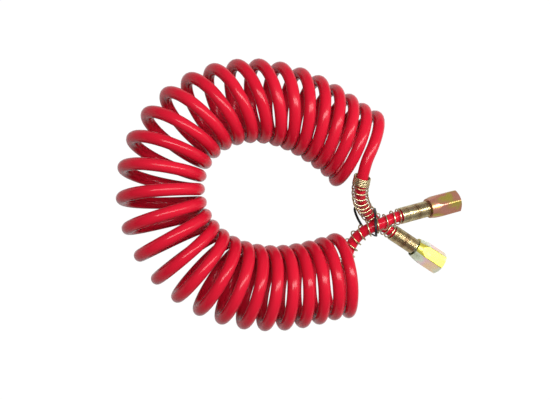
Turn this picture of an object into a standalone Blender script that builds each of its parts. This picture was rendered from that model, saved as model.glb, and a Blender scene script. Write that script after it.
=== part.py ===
"""Coiled air hose: a wound nylon hose bent into a C, tied where its two ends cross.

Each end has a spring guard, a crimped ferrule, a hollow stem with a seal ring and a
swivelling hexagon union nut. Units are metres, +Z is up and the floor is z = 0. The
origin is on the floor under the middle of the whole part, and +X points from the
closed side of the C to the two nuts.
"""

from math import cos, pi, radians, sin

import bmesh
import bpy
import numpy as np
from mathutils import Matrix, Vector

# ---- Clearance ----
GAP = 0.0003                    # between pieces that touch on the real hose

# ---- Hose ----
HOSE_DIAMETER = 0.012
HOSE_BORE = 0.009
TURN_RADIUS = 0.03712           # middle of the hose, in one turn of the coil
TURNS = 28                      # from the top of the first turn to the top of the last
POINTS_PER_TURN = 9
REST_FLAT = 0.0012              # how deep the turns are cut flat where they stand
BACK_TO_ORIGIN = 0.1452         # coil's own middle line at the closed side, to the origin

# ---- How the coil's middle line bends, per metre ----
BEND_MIDDLE = 11.36             # at the closed side of the C
BEND_END = 1.40                 # at the two open ends
BEND_FADE = 1.68                # how fast the bend eases off between them
WALK_STEPS = 40                 # steps per turn along the middle line

# ---- How the turns lie, at five even places from the first turn to the last ----
INNER_PITCHES = (0.01369, 0.01252, 0.01252, 0.01271, 0.01436)   # along the C's inside
LEANS = (0.00934, 0.01088, -0.00109, -0.00458, -0.00799)        # outside ahead of inside
NODS = (0.00089, 0.00063, 0.00217, 0.00242, -0.00336)           # top ahead of bottom
FLARE = 0.005                   # how much wider than high the first turn begins
FLARE_TURNS = 2                 # over which it eases off

# ---- Spring guards ----
WIRE_DIAMETER = 0.0015
POINTS_PER_CURL = 8
CLOSE_CURLS = 14                # over the ferrule
CLOSE_LENGTH = 0.0336
BAND_PITCH = 0.0026             # of the few close curls at the guard's loose end
BAND_CURLS_A = 3
BAND_CURLS_B = 2
OPEN_CURLS_A = 15
OPEN_PITCH_A = 0.0067
OPEN_CURLS_B = 10
OPEN_PITCH_B = 0.0101

# ---- Fittings: lengths along the fitting's axis ----
FERRULE_DIAMETER = 0.0144
FERRULE_BORE = 0.0127
FERRULE_LENGTH = 0.026
LIP_THICKNESS = 0.0017          # inward lip at the front of the ferrule
SHANK_DIAMETER = 0.011
STEM_BORE = 0.006
TAIL_DIAMETER = 0.0072
TAIL_LENGTH = 0.0225
BARB_DIAMETER = 0.0082
BARBS = 4
HEAD_DIAMETER = 0.0158
HEAD_COLLAR = 0.0035
GROOVE_DIAMETER = 0.0104
GROOVE_WIDTH = 0.0025
NOSE_DIAMETER = 0.0136
NOSE_TIP_DIAMETER = 0.0098
NOSE_LENGTH = 0.0042
SEAL_SECTION = 0.0019

# ---- Union nut ----
NUT_FLATS = 0.024               # across the flats
NUT_LENGTH = 0.0359
NUT_SHOULDER = 0.0098           # wall behind the stem's head
NUT_REAR_DIAMETER = 0.0218      # small end of the turned taper at the rear
NUT_TAPER_LENGTH = 0.0135
NUT_FRONT_CHAMFER = 0.0018      # turned off the corners at the front
NUT_CHAMFER = 0.0012
THREAD_BORE = 0.0164            # minor diameter of the M18x1.5 thread
MOUTH_CHAMFER = 0.0011
NUT_PLAY = 0.001                # room behind the nut, in front of the guard and ferrule

# ---- Where the two fittings lie: the rear end of each close-wound guard ----
FITTING_A_START = (0.1183, -0.0032, 0.0120)
FITTING_A_HEADING = radians(-19.4)
FITTING_B_START = (0.1185, 0.0135, 0.0313)
FITTING_B_HEADING = radians(26.4)

# ---- Routes of the two free legs, from the coil to the fittings ----
LEG_A_ROUTE = [
    (0.0492, 0.0516, 0.0780), (0.0492, 0.0426, 0.0754), (0.0502, 0.0350, 0.0713),
    (0.0520, 0.0286, 0.0658), (0.0561, 0.0222, 0.0572), (0.0633, 0.0174, 0.0446),
    (0.0738, 0.0139, 0.0291), (0.0842, 0.0100, 0.0186), (0.0939, 0.0060, 0.0133),
    (0.1026, 0.0024, 0.0116), (0.1104, -0.0006, 0.0118),
]
LEG_B_ROUTE = [
    (0.0592, -0.0797, 0.0770), (0.0661, -0.0953, 0.0643), (0.0717, -0.1006, 0.0448),
    (0.0751, -0.0947, 0.0265), (0.0763, -0.0832, 0.0155), (0.0763, -0.0707, 0.0107),
    (0.0751, -0.0582, 0.0103), (0.0727, -0.0471, 0.0119), (0.0724, -0.0355, 0.0134),
    (0.0749, -0.0240, 0.0167), (0.0798, -0.0139, 0.0231), (0.0870, -0.0068, 0.0290),
    (0.0965, 0.0000, 0.0323), (0.1073, 0.0075, 0.0320),
]
ROUTE_STEP = 0.0005             # fine steps along a leg's smooth curve
LEG_POINT_STEP = 0.010          # between the points of a leg's tube
LEG_STRAIGHT = 0.003            # square to the coil's end, before the leg starts to curve

# ---- Cable tie ----
TIE_WIDTH = 0.0027
TIE_THICKNESS = 0.0012
TIE_HEAD = (0.0060, 0.0052, 0.0042)
TIE_POINTS = 51
TIE_HEAD_PLACE = (0.0906, -0.0061)
TIE_ROUTE = [
    (0.0929, -0.0135, 0.0358), (0.0894, -0.0098, 0.0398), (0.0869, -0.0049, 0.0408),
    (0.0857, 0.0009, 0.0393), (0.0858, 0.0077, 0.0351), (0.0884, 0.0138, 0.0299),
    (0.0920, 0.0179, 0.0205), (0.0908, 0.0188, 0.0104), (0.0861, 0.0184, 0.0048),
    (0.0798, 0.0171, 0.0030), (0.0752, 0.0126, 0.0028), (0.0788, 0.0050, 0.0029),
    (0.0852, -0.0016, 0.0028), (0.0909, -0.0063, 0.0034), (0.0951, -0.0099, 0.0066),
    (0.0968, -0.0127, 0.0139), (0.0962, -0.0146, 0.0251),
]

# ---- Facets ----
ROUND_SIDES = 24
RING_SIDES = 8
LEG_RESOLUTION = 3              # ten sides
FORM_RESOLUTION = 1             # six sides
SAME_PLACE = 1e-7               # points this near to each other are joined
SHARP_ANGLE = radians(35)       # edges bent further than this are shown sharp
FLOOR_SPAN = 1.0                # of the block that cuts the coil flat at the floor
GAP_STEPS = 4                   # along each side of a wound tube, to measure its gaps

# ---- Derived sizes ----
HOSE_RADIUS = HOSE_DIAMETER / 2
AXIS_HEIGHT = TURN_RADIUS + HOSE_RADIUS
FORM_RADIUS = TURN_RADIUS + REST_FLAT
MIDDLE_TURN = TURNS / 2
PLACES = np.linspace(0, TURNS, len(LEANS))
GUARD_RADIUS = FERRULE_DIAMETER / 2 + GAP + WIRE_DIAMETER / 2
GUARD_FORM_RADIUS = GUARD_RADIUS / cos(pi / POINTS_PER_CURL)
GUARD_FRONT = CLOSE_LENGTH - GAP - WIRE_DIAMETER / 2
NUT_REAR = CLOSE_LENGTH
FERRULE_FRONT = NUT_REAR - NUT_PLAY
FERRULE_REAR = FERRULE_FRONT - FERRULE_LENGTH
HOSE_FRONT = FERRULE_FRONT - LIP_THICKNESS - GAP
SHANK_REAR = HOSE_FRONT + GAP
TAIL_REAR = SHANK_REAR - TAIL_LENGTH
HEAD_REAR = NUT_REAR + NUT_SHOULDER + GAP
GROOVE_REAR = HEAD_REAR + HEAD_COLLAR
GROOVE_FRONT = GROOVE_REAR + GROOVE_WIDTH
STEM_FRONT = GROOVE_FRONT + NOSE_LENGTH

# ---- Colours: red, green, blue; roughness; metallic ----
FINISHES = {
    "hose_nylon": ((0.60, 0.012, 0.035), 0.22, 0.0),
    "guard_wire": ((0.62, 0.47, 0.22), 0.30, 1.0),
    "ferrule_steel": ((0.60, 0.50, 0.30), 0.35, 1.0),
    "stem_brass": ((0.68, 0.50, 0.22), 0.30, 1.0),
    "seal_rubber": ((0.02, 0.02, 0.02), 0.60, 0.0),
    "nut_zinc": ((0.66, 0.52, 0.27), 0.28, 1.0),
    "tie_nylon": ((0.015, 0.015, 0.016), 0.45, 0.0),
}


def clear_scene():
    for thing in list(bpy.data.objects):
        bpy.data.objects.remove(thing, do_unlink=True)


def finish(name):
    """The material of one finish, made the first time it is asked for."""
    material = bpy.data.materials.get(name)
    if material is None:
        material = bpy.data.materials.new(name)
        material.use_nodes = True
        colour, roughness, metallic = FINISHES[name]
        shader = material.node_tree.nodes["Principled BSDF"]
        shader.inputs["Base Color"].default_value = (*colour, 1.0)
        shader.inputs["Roughness"].default_value = roughness
        shader.inputs["Metallic"].default_value = metallic
    return material


def link(name, data, finish_name):
    thing = bpy.data.objects.new(name, data)
    bpy.context.scene.collection.objects.link(thing)
    data.materials.append(finish(finish_name))
    return thing


def tube(name, points, radius, resolution, finish_name):
    """A tube with closed ends along a row of points."""
    curve = bpy.data.curves.new(name, "CURVE")
    curve.dimensions = "3D"
    curve.bevel_depth = radius
    curve.bevel_resolution = resolution
    curve.use_fill_caps = True
    curve.resolution_u = 1
    curve.render_resolution_u = 0
    spline = curve.splines.new("POLY")
    spline.points.add(len(points) - 1)
    for slot, point in zip(spline.points, points):
        slot.co = (*point, 1.0)
    spline.use_smooth = True
    return link(name, curve, finish_name)


def turned(name, profile, finish_name, sides=ROUND_SIDES):
    """Spin a closed outline of (along, radius) points round the X axis."""
    shape = bmesh.new()
    rings = []
    for step in range(sides):
        angle = 2 * pi * step / sides
        ring = [shape.verts.new((along, radius * cos(angle), radius * sin(angle)))
                for along, radius in profile]
        rings.append(ring)
    count = len(profile)
    for step in range(sides):
        here, there = rings[step], rings[(step + 1) % sides]
        for k in range(count):
            shape.faces.new((here[k], here[(k + 1) % count],
                             there[(k + 1) % count], there[k]))
    bmesh.ops.remove_doubles(shape, verts=shape.verts, dist=SAME_PLACE)
    bmesh.ops.recalc_face_normals(shape, faces=shape.faces)
    mesh = bpy.data.meshes.new(name)
    shape.to_mesh(mesh)
    shape.free()
    mesh.shade_smooth()
    mesh.set_sharp_from_angle(angle=SHARP_ANGLE)
    return link(name, mesh, finish_name)


def cut(target, cutter, operation):
    """Shape one object with another, which stays in the file as a hidden guide."""
    cutter.hide_render = True
    cutter.display_type = "WIRE"
    boolean = target.modifiers.new(cutter.name, "BOOLEAN")
    boolean.object = cutter
    boolean.operation = operation
    boolean.solver = "EXACT"


# ---- Middle line of the coil ----

def bend_at(turn):
    """Curvature of the coil's middle line, strongest at the middle turn."""
    away = min(abs(turn - MIDDLE_TURN) / MIDDLE_TURN, 1.0)
    return BEND_END + (BEND_MIDDLE - BEND_END) * (1 - away ** BEND_FADE)


def half_axis(direction):
    """Walk from the middle turn to one end, keeping the inside pitch, and past it."""
    x, y, heading = -BACK_TO_ORIGIN, 0.0, -pi / 2
    rows = [(MIDDLE_TURN, x, y, heading)]
    steps = int((MIDDLE_TURN + 1) * WALK_STEPS)
    for step in range(steps):
        turn = MIDDLE_TURN + direction * (step + 0.5) / WALK_STEPS
        bend = bend_at(turn)
        pitch = np.interp(turn, PLACES, INNER_PITCHES)
        length = direction * pitch / (1 - bend * TURN_RADIUS) / WALK_STEPS
        x += cos(heading + bend * length / 2) * length
        y += sin(heading + bend * length / 2) * length
        heading += bend * length
        rows.append((MIDDLE_TURN + direction * (step + 1) / WALK_STEPS, x, y, heading))
    return rows


def coil_axis():
    rows = half_axis(-1)[:0:-1] + half_axis(1)
    return np.array(rows)


def coil_point(axis, turn, radius):
    """A point of the hose's middle; whole turns are at the top of the coil."""
    x, y, heading = (np.interp(turn, axis[:, 0], axis[:, k]) for k in (1, 2, 3))
    lean, nod = np.interp(turn, PLACES, LEANS), np.interp(turn, PLACES, NODS)
    angle = pi / 2 - 2 * pi * turn
    ahead = lean * cos(angle) + nod * sin(angle)
    flare = FLARE * max(0.0, 1 - turn / FLARE_TURNS) ** 2
    out = (radius + flare) * cos(angle)
    return Vector((x + out * sin(heading) + ahead * cos(heading),
                   y - out * cos(heading) + ahead * sin(heading),
                   AXIS_HEIGHT + radius * sin(angle)))


def coil_points():
    """Corners of the wound hose, with a straight half side at each end."""
    axis = coil_axis()
    half = 0.5 / POINTS_PER_TURN
    corners = [coil_point(axis, half + k / POINTS_PER_TURN, FORM_RADIUS)
               for k in range(TURNS * POINTS_PER_TURN)]
    before = coil_point(axis, -half, FORM_RADIUS)
    after = coil_point(axis, TURNS + half, FORM_RADIUS)
    first = (before + corners[0]) / 2
    last = (corners[-1] + after) / 2
    return [first] + corners + [last]


# ---- Smooth routes ----

def smooth(points, start_way, end_way):
    """Cubic curve through the points, leaving and arriving along the given ways."""
    spots = np.array([tuple(p) for p in points])
    spans = np.linalg.norm(np.diff(spots, axis=0), axis=1)
    size = len(spots)
    table = np.zeros((size, size))
    wanted = np.zeros((size, 3))
    table[0, 0] = table[-1, -1] = 1
    wanted[0], wanted[-1] = start_way, end_way
    for k in range(1, size - 1):
        a, b = spans[k - 1], spans[k]
        table[k, k - 1], table[k, k], table[k, k + 1] = b, 2 * (a + b), a
        wanted[k] = 3 * (b * (spots[k] - spots[k - 1]) / a + a * (spots[k + 1] - spots[k]) / b)
    ways = np.linalg.solve(table, wanted)
    fine = []
    for k in range(size - 1):
        count = max(2, int(spans[k] / ROUTE_STEP))
        for u in np.arange(count) / count:
            h00, h10 = (1 + 2 * u) * (1 - u) ** 2, u * (1 - u) ** 2
            h01, h11 = u * u * (3 - 2 * u), u * u * (u - 1)
            fine.append(h00 * spots[k] + h10 * spans[k] * ways[k]
                        + h01 * spots[k + 1] + h11 * spans[k] * ways[k + 1])
    fine.append(spots[-1])
    return np.array(fine)


class Route:
    """A fine line of points that can be read at any distance along it."""

    def __init__(self, points):
        self.points = np.array(points)
        steps = np.linalg.norm(np.diff(self.points, axis=0), axis=1)
        self.along = np.concatenate([[0.0], np.cumsum(steps)])
        self.length = self.along[-1]
        self.sides = self.carry_sides()

    def carry_sides(self):
        """One sideways direction at each point, carried along without twisting."""
        ways = np.gradient(self.points, axis=0)
        ways /= np.linalg.norm(ways, axis=1)[:, None]
        side = np.cross(ways[0], (1.0, 0.0, 0.0))
        sides = []
        for way in ways:
            side = side - way * np.dot(side, way)
            side = side / np.linalg.norm(side)
            sides.append(side)
        self.ways = ways
        return np.array(sides)

    def read(self, rows, distance):
        return np.array([np.interp(distance, self.along, rows[:, k]) for k in range(3)])

    def at(self, distance):
        return Vector(self.read(self.points, distance))

    def round_at(self, distance, radius, angle):
        """A point on a circle round the route."""
        way = Vector(self.read(self.ways, distance)).normalized()
        side = Vector(self.read(self.sides, distance))
        side = (side - way * side.dot(way)).normalized()
        return self.at(distance) + radius * (side * cos(angle) + way.cross(side) * sin(angle))


def fitting_frame(start, heading):
    return Matrix.Translation(start) @ Matrix.Rotation(heading, 4, "Z")


def leg_route(end_point, inner_point, points, frame):
    """From the coil's end through the hand-chosen points and into the fitting."""
    leaving = (end_point - inner_point).normalized()
    arriving = frame.to_3x3() @ Vector((1, 0, 0))
    begin = end_point + leaving * GAP
    through = [begin + leaving * LEG_STRAIGHT] + [Vector(p) for p in points]
    through.append(frame.translation)
    curve = smooth(through, leaving, arriving)
    front = frame @ Vector((HOSE_FRONT, 0, 0))
    count = int(HOSE_FRONT / ROUTE_STEP)
    straight = [frame.translation.lerp(front, (k + 1) / count) for k in range(count)]
    return Route([tuple(begin)] + [tuple(p) for p in curve] + [tuple(p) for p in straight])


# ---- Hose ----

def make_coil(points):
    coil = tube("hose_coil", points, HOSE_RADIUS, FORM_RESOLUTION, "hose_nylon")
    bpy.ops.mesh.primitive_cube_add(size=1.0)
    block = bpy.context.object
    block.name = "floor_cutter"
    block.location = (0, 0, -HOSE_RADIUS)
    block.dimensions = (FLOOR_SPAN, FLOOR_SPAN, HOSE_DIAMETER)
    mesh = mesh_of(coil)
    bpy.data.objects.remove(coil, do_unlink=True)
    flat = link("hose_coil", mesh, "hose_nylon")
    cut(flat, block, "DIFFERENCE")
    return flat


def mesh_of(thing):
    """The plain mesh of a curve object, without its material."""
    bpy.context.view_layer.update()
    seen = thing.evaluated_get(bpy.context.evaluated_depsgraph_get())
    mesh = bpy.data.meshes.new_from_object(seen)
    mesh.materials.clear()
    return mesh


def make_leg(name, route, frame):
    """A free stretch of hose, bored out where the stem's tail sits in it."""
    run = route.length - LEG_STRAIGHT
    count = round(run / LEG_POINT_STEP)
    places = [0.0] + [LEG_STRAIGHT + run * k / count for k in range(count + 1)]
    solid = tube(name, [route.at(place) for place in places], HOSE_RADIUS,
                 LEG_RESOLUTION, "hose_nylon")
    mesh = mesh_of(solid)
    bpy.data.objects.remove(solid, do_unlink=True)
    leg = link(name, mesh, "hose_nylon")
    bore = turned(name + "_bore_cutter", [
        (TAIL_REAR - GAP, 0), (HOSE_FRONT + HOSE_BORE, 0),
        (HOSE_FRONT + HOSE_BORE, HOSE_BORE / 2), (TAIL_REAR - GAP, HOSE_BORE / 2),
    ], "hose_nylon")
    bore.matrix_world = frame
    cut(leg, bore, "DIFFERENCE")


# ---- Spring guards ----

def guard_points(route, band_curls, open_curls, open_pitch):
    """The wire's middle: close over the ferrule, open along the leg, close at its end."""
    axis_zero = route.length - HOSE_FRONT
    front = axis_zero + GUARD_FRONT
    close_pitch = (CLOSE_LENGTH - GAP - WIRE_DIAMETER) / CLOSE_CURLS
    stages = [(CLOSE_CURLS, close_pitch), (open_curls, open_pitch), (band_curls, BAND_PITCH)]
    points = []
    place, angle = front, 0.0
    for curls, pitch in stages:
        for _ in range(curls * POINTS_PER_CURL):
            points.append(wire_point(route, place, angle))
            place -= pitch / POINTS_PER_CURL
            angle += 2 * pi / POINTS_PER_CURL
    points.append(wire_point(route, place, angle))
    return points


def wire_point(route, place, angle):
    """Past the hose's cut end, the guard goes on along the fitting's axis."""
    beyond = max(0.0, place - route.length)
    point = route.round_at(min(place, route.length), GUARD_FORM_RADIUS, angle)
    return point + Vector(route.ways[-1]) * beyond


def least_gap(points, diameter, apart):
    """Least gap of a wound tube to itself, between places at least so many sides apart."""
    spots = np.array([tuple(p) for p in points])
    fine = []
    for a, b in zip(spots[:-1], spots[1:]):
        fine += [a + (b - a) * k / GAP_STEPS for k in range(GAP_STEPS)]
    fine = np.array(fine)
    skip = GAP_STEPS * apart
    return min(np.linalg.norm(fine[k + skip:] - fine[k], axis=1).min()
               for k in range(len(fine) - skip)) - diameter


# ---- Fittings ----

def make_ferrule(name, frame):
    outer, inner, lip = FERRULE_DIAMETER / 2, FERRULE_BORE / 2, SHANK_DIAMETER / 2 + GAP
    ferrule = turned(name, [
        (FERRULE_REAR, inner), (FERRULE_REAR, outer - NUT_CHAMFER / 2),
        (FERRULE_REAR + NUT_CHAMFER, outer), (FERRULE_FRONT - NUT_CHAMFER, outer),
        (FERRULE_FRONT, outer - NUT_CHAMFER / 2), (FERRULE_FRONT, lip),
        (FERRULE_FRONT - LIP_THICKNESS, lip), (FERRULE_FRONT - LIP_THICKNESS, inner),
    ], "ferrule_steel")
    ferrule.matrix_world = frame


def make_stem(name, frame):
    """Hollow stem: barbed tail in the hose, shank in the nut, head with a seal groove."""
    bore, tail, barb = STEM_BORE / 2, TAIL_DIAMETER / 2, BARB_DIAMETER / 2
    profile = [(STEM_FRONT, bore), (TAIL_REAR, bore), (TAIL_REAR, tail)]
    step = (TAIL_LENGTH - NUT_CHAMFER) / BARBS
    for k in range(BARBS):
        crest = TAIL_REAR + (k + 1) * step
        profile += [(crest, barb), (crest, tail)]
    profile += [
        (SHANK_REAR, tail), (SHANK_REAR, SHANK_DIAMETER / 2), (HEAD_REAR, SHANK_DIAMETER / 2),
        (HEAD_REAR, HEAD_DIAMETER / 2), (GROOVE_REAR, HEAD_DIAMETER / 2),
        (GROOVE_REAR, GROOVE_DIAMETER / 2), (GROOVE_FRONT, GROOVE_DIAMETER / 2),
        (GROOVE_FRONT, NOSE_DIAMETER / 2), (STEM_FRONT, NOSE_TIP_DIAMETER / 2),
    ]
    stem = turned(name, profile, "stem_brass")
    stem.matrix_world = frame


def make_seal(name, frame):
    radius = SEAL_SECTION / 2
    middle = GROOVE_DIAMETER / 2 + GAP + radius
    centre = (GROOVE_REAR + GROOVE_FRONT) / 2
    profile = []
    for k in range(RING_SIDES):
        angle = 2 * pi * k / RING_SIDES
        profile.append((centre + radius * cos(angle), middle + radius * sin(angle)))
    seal = turned(name, profile, "seal_rubber")
    seal.matrix_world = frame


def make_nut(name, frame, ridge_up):
    """Long hexagon nut whose origin is on its swivel axis, at its rear face."""
    corner = NUT_FLATS / 2 / cos(pi / 6)
    wide = corner + NUT_CHAMFER
    shape = bmesh.new()
    bmesh.ops.create_cone(shape, cap_ends=True, segments=6, radius1=corner, radius2=corner,
                          depth=NUT_LENGTH)
    turn = Matrix.Rotation(pi / 6 if ridge_up else 0, 4, "Z")
    bmesh.ops.transform(shape, matrix=turn, verts=shape.verts)
    lay = Matrix.Translation((NUT_LENGTH / 2, 0, 0)) @ Matrix.Rotation(pi / 2, 4, "Y")
    bmesh.ops.transform(shape, matrix=lay, verts=shape.verts)
    mesh = bpy.data.meshes.new(name)
    shape.to_mesh(mesh)
    shape.free()
    nut = link(name, mesh, "nut_zinc")
    taper = (wide - NUT_REAR_DIAMETER / 2) / (corner - NUT_REAR_DIAMETER / 2)
    envelope = turned(name + "_envelope_cutter", [
        (0, 0), (0, NUT_REAR_DIAMETER / 2), (NUT_TAPER_LENGTH * taper, wide),
        (NUT_LENGTH - NUT_FRONT_CHAMFER, wide), (NUT_LENGTH, corner - NUT_FRONT_CHAMFER),
        (NUT_LENGTH, 0),
    ], "nut_zinc", 2 * ROUND_SIDES)
    deep = NUT_LENGTH + MOUTH_CHAMFER
    thread, shank = THREAD_BORE / 2, SHANK_DIAMETER / 2 + GAP
    bore = turned(name + "_bore_cutter", [
        (-NUT_CHAMFER, 0), (-NUT_CHAMFER, shank), (NUT_SHOULDER, shank), (NUT_SHOULDER, thread),
        (NUT_LENGTH - MOUTH_CHAMFER, thread), (deep, thread + 2 * MOUTH_CHAMFER), (deep, 0),
    ], "nut_zinc")
    place = frame @ Matrix.Translation((NUT_REAR, 0, 0))
    for piece in (nut, envelope, bore):
        piece.matrix_world = place
    cut(nut, envelope, "INTERSECT")
    cut(nut, bore, "DIFFERENCE")


# ---- Cable tie ----

def make_tie():
    """A flat band in a loose loop round both legs, with its head on the floor."""
    spots = [Vector(p) for p in TIE_ROUTE]
    count = len(spots)
    points = []
    for k in range(TIE_POINTS):
        place = k * count / TIE_POINTS
        index, u = int(place), place - int(place)
        p0, p1, p2, p3 = (spots[(index + j - 1) % count] for j in range(4))
        points.append(0.5 * (2 * p1 + (p2 - p0) * u + (2 * p0 - 5 * p1 + 4 * p2 - p3) * u ** 2
                             + (3 * p1 - p0 - 3 * p2 + p3) * u ** 3))
    middle = sum(points, Vector()) / TIE_POINTS
    shape = bmesh.new()
    rings = []
    for k, point in enumerate(points):
        way = (points[(k + 1) % TIE_POINTS] - points[k - 1]).normalized()
        wide = Vector((1, 0, 0)) - way * way.x
        wide.normalize()
        out = way.cross(wide)
        if out.dot(point - middle) < 0:
            out.negate()
        corners = [(-1, 0), (1, 0), (1, 1), (-1, 1)]
        rings.append([shape.verts.new(point + wide * a * TIE_WIDTH / 2 + out * b * TIE_THICKNESS)
                      for a, b in corners])
    for k in range(TIE_POINTS):
        here, there = rings[k], rings[(k + 1) % TIE_POINTS]
        for j in range(4):
            shape.faces.new((here[j], here[(j + 1) % 4], there[(j + 1) % 4], there[j]))
    bmesh.ops.recalc_face_normals(shape, faces=shape.faces)
    mesh = bpy.data.meshes.new("cable_tie")
    shape.to_mesh(mesh)
    shape.free()
    tie = link("cable_tie", mesh, "tie_nylon")
    head = bpy.data.meshes.new("tie_head")
    block = bmesh.new()
    bmesh.ops.create_cube(block, size=1.0)
    bmesh.ops.scale(block, vec=TIE_HEAD, verts=block.verts)
    block.to_mesh(head)
    block.free()
    head_object = link("tie_head_union", head, "tie_nylon")
    head_object.location = (*TIE_HEAD_PLACE, GAP + TIE_HEAD[2] / 2)
    cut(tie, head_object, "UNION")


def main():
    clear_scene()
    points = coil_points()
    make_coil(points)
    print("least gap of the coil to itself, mm:",
          round(1000 * least_gap(points, HOSE_DIAMETER, POINTS_PER_TURN // 2), 3))
    frame_a = fitting_frame(FITTING_A_START, FITTING_A_HEADING)
    frame_b = fitting_frame(FITTING_B_START, FITTING_B_HEADING)
    route_a = leg_route(points[0], points[1], LEG_A_ROUTE, frame_a)
    route_b = leg_route(points[-1], points[-2], LEG_B_ROUTE, frame_b)
    ends = [
        ("a", route_a, frame_a, (BAND_CURLS_A, OPEN_CURLS_A, OPEN_PITCH_A), False),
        ("b", route_b, frame_b, (BAND_CURLS_B, OPEN_CURLS_B, OPEN_PITCH_B), True),
    ]
    for letter, route, frame, guard, ridge_up in ends:
        make_leg("hose_leg_" + letter, route, frame)
        wire = guard_points(route, *guard)
        tube("spring_guard_" + letter, wire, WIRE_DIAMETER / 2, FORM_RESOLUTION, "guard_wire")
        print("least gap of guard", letter, "to itself, mm:",
              round(1000 * least_gap(wire, WIRE_DIAMETER, POINTS_PER_CURL // 2), 3))
        make_ferrule("crimp_ferrule_" + letter, frame)
        make_stem("hose_stem_" + letter, frame)
        make_seal("seal_ring_" + letter, frame)
        make_nut("union_nut_" + letter, frame, ridge_up)
    make_tie()


main()
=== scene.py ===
"""Looks of the coiled air hose: finishes, wound wire, threads, tie, stage and camera.

The hose, the two spring guards, the fittings and the tie are remade here in full detail
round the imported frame. Units are metres, +Z is up and the floor is z = 0.
"""

from math import atan2, cos, pi, radians, sin
from typing import NamedTuple

import bmesh
import bpy
import numpy as np
from mathutils import Matrix, Vector


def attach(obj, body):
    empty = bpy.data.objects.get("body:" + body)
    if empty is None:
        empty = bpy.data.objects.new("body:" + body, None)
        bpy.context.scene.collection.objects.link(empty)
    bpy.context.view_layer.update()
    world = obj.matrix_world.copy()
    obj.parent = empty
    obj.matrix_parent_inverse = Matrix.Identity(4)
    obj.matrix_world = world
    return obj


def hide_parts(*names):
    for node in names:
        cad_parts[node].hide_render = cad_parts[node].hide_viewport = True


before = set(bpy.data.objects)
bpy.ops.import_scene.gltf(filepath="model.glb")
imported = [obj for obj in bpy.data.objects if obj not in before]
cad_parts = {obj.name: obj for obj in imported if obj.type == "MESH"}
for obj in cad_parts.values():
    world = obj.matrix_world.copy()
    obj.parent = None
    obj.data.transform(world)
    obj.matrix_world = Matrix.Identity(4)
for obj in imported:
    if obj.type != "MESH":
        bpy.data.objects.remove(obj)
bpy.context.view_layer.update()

# ---- Sizes and routes of the hose, as the solids have them ----
GAP = 0.0003
HOSE_DIAMETER = 0.012
TURN_RADIUS = 0.03712
TURNS = 28
BACK_TO_ORIGIN = 0.1452
BEND_MIDDLE = 11.36
BEND_END = 1.40
BEND_FADE = 1.68
WALK_STEPS = 40
INNER_PITCHES = (0.01369, 0.01252, 0.01252, 0.01271, 0.01436)
LEANS = (0.00934, 0.01088, -0.00109, -0.00458, -0.00799)
NODS = (0.00089, 0.00063, 0.00217, 0.00242, -0.00336)
PLACES = np.linspace(0, TURNS, len(LEANS))      # the turns that the three lists are given at
FLARE = 0.005
FLARE_TURNS = 2
LEG_A_ROUTE = [
    (0.0492, 0.0516, 0.0780), (0.0492, 0.0426, 0.0754), (0.0502, 0.0350, 0.0713),
    (0.0520, 0.0286, 0.0658), (0.0561, 0.0222, 0.0572), (0.0633, 0.0174, 0.0446),
    (0.0738, 0.0139, 0.0291), (0.0842, 0.0100, 0.0186), (0.0939, 0.0060, 0.0133),
    (0.1026, 0.0024, 0.0116), (0.1104, -0.0006, 0.0118),
]
LEG_B_ROUTE = [
    (0.0592, -0.0797, 0.0770), (0.0661, -0.0953, 0.0643), (0.0717, -0.1006, 0.0448),
    (0.0751, -0.0947, 0.0265), (0.0763, -0.0832, 0.0155), (0.0763, -0.0707, 0.0107),
    (0.0751, -0.0582, 0.0103), (0.0727, -0.0471, 0.0119), (0.0724, -0.0355, 0.0134),
    (0.0749, -0.0240, 0.0167), (0.0798, -0.0139, 0.0231), (0.0870, -0.0068, 0.0290),
    (0.0965, 0.0000, 0.0323), (0.1073, 0.0075, 0.0320),
]
FITTING_A_START = (0.1183, -0.0032, 0.0120)
FITTING_A_HEADING = radians(-19.4)
FITTING_B_START = (0.1185, 0.0135, 0.0313)
FITTING_B_HEADING = radians(26.4)
ROUTE_STEP = 0.0005

# ---- Sizes along each fitting's axis ----
CLOSE_LENGTH = 0.0336           # close-wound end of a guard, up to the nut
NUT_PLAY = 0.001
FERRULE_DIAMETER = 0.0144
FERRULE_BORE = 0.0127
FERRULE_LENGTH = 0.026
LIP_THICKNESS = 0.0017
SHANK_DIAMETER = 0.011
STEM_BORE = 0.006
TAIL_DIAMETER = 0.0072
TAIL_LENGTH = 0.0225
BARB_DIAMETER = 0.0082
BARBS = 4
HEAD_DIAMETER = 0.0158
HEAD_COLLAR = 0.0035
GROOVE_DIAMETER = 0.0104
GROOVE_WIDTH = 0.0025
NOSE_DIAMETER = 0.0136
NOSE_TIP_DIAMETER = 0.0098
NOSE_LENGTH = 0.0042
SEAL_SECTION = 0.0019
NUT_FLATS = 0.024
NUT_LENGTH = 0.0359
NUT_SHOULDER = 0.0098
NUT_REAR_DIAMETER = 0.0218
NUT_TAPER_LENGTH = 0.0135
NUT_FRONT_CHAMFER = 0.0018
NUT_CHAMFER = 0.0012
THREAD_MINOR = 0.0164
THREAD_MAJOR = 0.0180
THREAD_PITCH = 0.0015
MOUTH_CHAMFER = 0.0011

NUT_REAR = CLOSE_LENGTH
FERRULE_FRONT = NUT_REAR - NUT_PLAY
FERRULE_REAR = FERRULE_FRONT - FERRULE_LENGTH
HOSE_FRONT = FERRULE_FRONT - LIP_THICKNESS - GAP
SHANK_REAR = HOSE_FRONT + GAP
TAIL_REAR = SHANK_REAR - TAIL_LENGTH
HEAD_REAR = NUT_REAR + NUT_SHOULDER + GAP
GROOVE_REAR = HEAD_REAR + HEAD_COLLAR
GROOVE_FRONT = GROOVE_REAR + GROOVE_WIDTH
STEM_FRONT = GROOVE_FRONT + NOSE_LENGTH

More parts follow.
